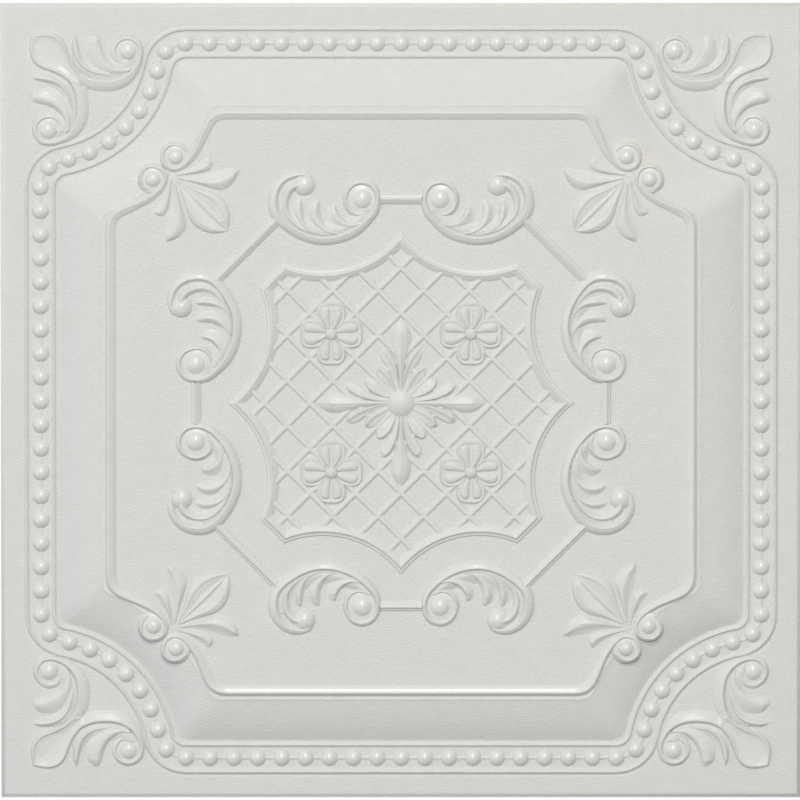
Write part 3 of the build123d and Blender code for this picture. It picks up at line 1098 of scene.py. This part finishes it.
CORNER_LOBES = (
    (
        ((-203.8, 229.4), (-205.4, 225), (-204.8, 218), (-201.2, 211.6), (-194.5, 206.8),
         (-185, 204)),
        ((-203.2, 229.6), (-203.2, 224.5), (-202.2, 218), (-199, 211.8), (-192.6, 207.4),
         (-182, 205)),
        ((-202.6, 229.4), (-201, 224), (-199.4, 218), (-196.2, 212.4), (-189.8, 208.4),
         (-179, 206.4)),
    ),
    (
        ((-193.6, 229.6), (-196.6, 225.4), (-197.2, 218.4), (-194.6, 211.4), (-188.6, 206.8),
         (-180, 204.8), (-171.4, 206)),
        ((-190.6, 229.8), (-191, 224.6), (-188.8, 219.2), (-185.6, 213.8), (-181.2, 210),
         (-175.8, 207.9), (-169.6, 208.2)),
        ((-187.6, 229), (-186.4, 224.4), (-185.2, 219.6), (-182.6, 215), (-178.8, 211.8),
         (-174.2, 210.2), (-168.4, 210.6)),
    ),
)
CORNER_RING = (-170.6, 220.2)
CORNER_EYE = (-170.3, 220.2)
FROND_STEPS = 120


class CEILINGTILE_OT_corner_leaves(bpy.types.Operator):
    """Builds the bud and the two fronds in each corner of the tile"""

    bl_idname = "ceiling_tile.corner_leaves"
    bl_label = "Corner Leaves"

    def execute(self, context):
        border = border_level(context)
        rise = context.scene.relief_sizes.leaf_rise / MM
        bm = bmesh.new()
        bud = smooth_line(BUD_EDGE, 45)
        outside = [point + normal * 1.6 for point, normal in zip(bud, left_normals(bud))]
        outside[0] = bud[0] + Vector((-1.3, 1.3))
        raise_strip(
            bm,
            outside,
            bud,
            smooth_line(BUD_MIDDLE, 45),
            rise=rise * 0.95,
            swell=((0, 0.6), (0.3, 0.95), (1, 1)),
            sides=(full_side, BUD_SIDE),
            ground=border,
            across=(5, 14),
            rest=((0, 0.9), (0.15, 0.25), (0.6, 0.2), (0.85, 0.45), (1, 0.6)),
        )
        crest = smooth_line(CORNER_RIM_PATH, FROND_STEPS + 1)
        width = ((0, 1.8), (0.5, 2.2), (1, 1.4))
        inside = [
            point + normal * graph(width, step / FROND_STEPS)
            for step, (point, normal) in enumerate(zip(crest, left_normals(crest)))
        ]
        raise_strip(
            bm,
            inside,
            crest,
            smooth_line(CORNER_FOOT, FROND_STEPS + 1),
            rise=rise * 0.95,
            swell=((0, 1), (0.25, 1.2), (0.45, 0.95), (0.8, 0.7), (1, 0.55)),
            sides=(full_side, lipped_side),
            ground=border,
            across=(5, 9),
            rest=((0, 0.6), (0.036, 0), (1, 0)),
        )
        beds = bmesh.new()
        sides = (full_side, soft_side)
        lay_leaf(beds, *CORNER_BED, 1.6, border, sides, steps=40, across=(6, 8))
        lay_dome(beds, (-198.2, 198.2), 4.0, 0.5, border, segments=20, rings=4)
        spread(beds, mirrored=True)
        finish_piece(beds, "corner_beds", gloss=0.0)
        sides = (full_side, full_side)
        swell = ((0, 0.3), (0.1, 0.9), (0.3, 1), (0.75, 0.95), (1, 0.6))
        for lobe in CORNER_LOBES:
            lay_leaf(bm, *lobe, 2.9, border, sides, swell, steps=44, across=(6, 5))
        lay_dome(bm, CORNER_RING, 10.0, 1.4, border, segments=32, rings=5)
        spread(bm, mirrored=True)
        finish_piece(bm, "corner_leaves")
        return {"FINISHED"}


class CEILINGTILE_OT_eyes(bpy.types.Operator):
    """Builds the round eyes and balls of the volutes"""

    bl_idname = "ceiling_tile.eyes"
    bl_label = "Eyes"

    def execute(self, context):
        field = field_level(context)
        rise = context.scene.relief_sizes.eye_rise / MM
        bm = bmesh.new()
        lay_dome(bm, RIB_EYE, 5.4, rise, field)
        lay_dome(bm, SCROLL_EYE, 6.9, rise * 1.05, field)
        lay_dome(bm, SCROLL_BALL, 6.8, rise * 1.05, field)
        lay_dome(bm, CORNER_EYE, 6.3, rise, border_level(context))
        spread(bm, mirrored=True)
        finish_piece(bm, "volute_eyes", gloss=0.5)
        return {"FINISHED"}


# Each lamp's name, the setting with its power, its size and place in metres and its colour
LAMPS = (
    ("key_lamp", "key_power", (1.8, 1.2), (0.0, 2.25, 6.36), "#FFFEFA"),
    ("glint_lamp", "glint_power", (0.6, 0.45), (0.0, 4.2, 5.18), "#FFFEFA"),
    ("window_lamp", "side_power", (3.6, 3.6), (-4.95, 0.15, 3.45), "#D4E4FF"),
)
FLOOR_HALF = 6.0
CAMERA_LEAN = 7.3
# The picture's side, the tile's side in it and the shift of its middle, in pixels
PICTURE_SIDE = 800
TILE_IN_PICTURE = 800.4
PICTURE_SHIFT = (-1, 0.4)


class CEILINGTILE_OT_stage(bpy.types.Operator):
    """Builds the floor, the lamps and the camera"""

    bl_idname = "ceiling_tile.stage"
    bl_label = "Stage"

    def execute(self, context):
        scene = context.scene
        look = scene.stage_look
        bm = bmesh.new()
        bmesh.ops.create_grid(bm, x_segments=1, y_segments=1, size=FLOOR_HALF)
        paper = bpy.data.materials.new("white_paper")
        paper.use_nodes = True
        shader = paper.node_tree.nodes["Principled BSDF"]
        shader.inputs["Base Color"].default_value = look.floor_colour
        shader.inputs["Roughness"].default_value = 0.9
        floor = add_mesh("floor", bm, paper)

        for name, power, size, place, colour in LAMPS:
            add_lamp(name, getattr(look, power), size, place, colour)
        world = bpy.data.worlds.new("even_sky")
        scene.world = world
        world.use_nodes = True
        background = world.node_tree.nodes["Background"]
        background.inputs["Color"].default_value = to_linear("#FDFDFF")
        background.inputs["Strength"].default_value = look.sky_strength

        camera_data = bpy.data.cameras.new("camera")
        camera = add_object("camera", camera_data)
        # The photograph is a little lower than wide, so the camera leans towards the top edge
        lean = math.radians(CAMERA_LEAN)
        away = look.camera_distance
        camera.location = (0, away * math.sin(lean), away * math.cos(lean))
        camera.rotation_euler = (-lean, 0, 0)
        seen = 2 * HALF_SIDE * MM * PICTURE_SIDE / TILE_IN_PICTURE
        camera_data.sensor_width = 36.0
        camera_data.lens = camera_data.sensor_width * away / seen
        camera_data.shift_x = PICTURE_SHIFT[0] / PICTURE_SIDE
        camera_data.shift_y = PICTURE_SHIFT[1] / PICTURE_SIDE
        camera_data.clip_end = 100.0
        scene.camera = camera
        scene.view_settings.view_transform = "Standard"
        return {"FINISHED"}


def add_lamp(name, power, size, place, colour):
    """A rectangular soft lamp that faces the middle of the tile."""
    data = bpy.data.lights.new(name, "AREA")
    data.shape = "RECTANGLE"
    data.size, data.size_y = size
    data.energy = power
    data.color = to_linear(colour)[:3]
    lamp = add_object(name, data)
    lamp.location = place
    lamp.rotation_euler = Vector(place).to_track_quat("Z", "Y").to_euler()


class CEILINGTILE_PT_panel(bpy.types.Panel):
    """Lists the steps of the ceiling tile"""

    bl_idname = "CEILINGTILE_PT_panel"
    bl_label = "Ceiling Tile"
    bl_space_type = "VIEW_3D"
    bl_region_type = "UI"
    bl_category = "Ceiling Tile"

    def draw(self, context):
        layout = self.layout
        for step in STEPS:
            layout.operator(step.bl_idname)


STEPS = (
    CEILINGTILE_OT_sheet,
    CEILINGTILE_OT_beads,
    CEILINGTILE_OT_field_rib,
    CEILINGTILE_OT_palmettes,
    CEILINGTILE_OT_scrolls,
    CEILINGTILE_OT_cartouche,
    CEILINGTILE_OT_lattice,
    CEILINGTILE_OT_flowers,
    CEILINGTILE_OT_rosette,
    CEILINGTILE_OT_corner_leaves,
    CEILINGTILE_OT_eyes,
    CEILINGTILE_OT_stage,
)
GROUPS = (SheetSizes, ReliefSizes, FoamFinish, StageLook)
SETTINGS = ("sheet_sizes", "relief_sizes", "foam_finish", "stage_look")


def register():
    for kind in GROUPS + STEPS + (CEILINGTILE_PT_panel,):
        bpy.utils.register_class(kind)
    for name, group in zip(SETTINGS, GROUPS):
        setattr(bpy.types.Scene, name, PointerProperty(type=group))


def unregister():
    for name in SETTINGS:
        delattr(bpy.types.Scene, name)
    for kind in reversed(GROUPS + STEPS + (CEILINGTILE_PT_panel,)):
        bpy.utils.unregister_class(kind)


def main():
    register()
    for step in STEPS:
        group, name = step.bl_idname.split(".")
        getattr(getattr(bpy.ops, group), name)()


if __name__ == "__main__":
    main()
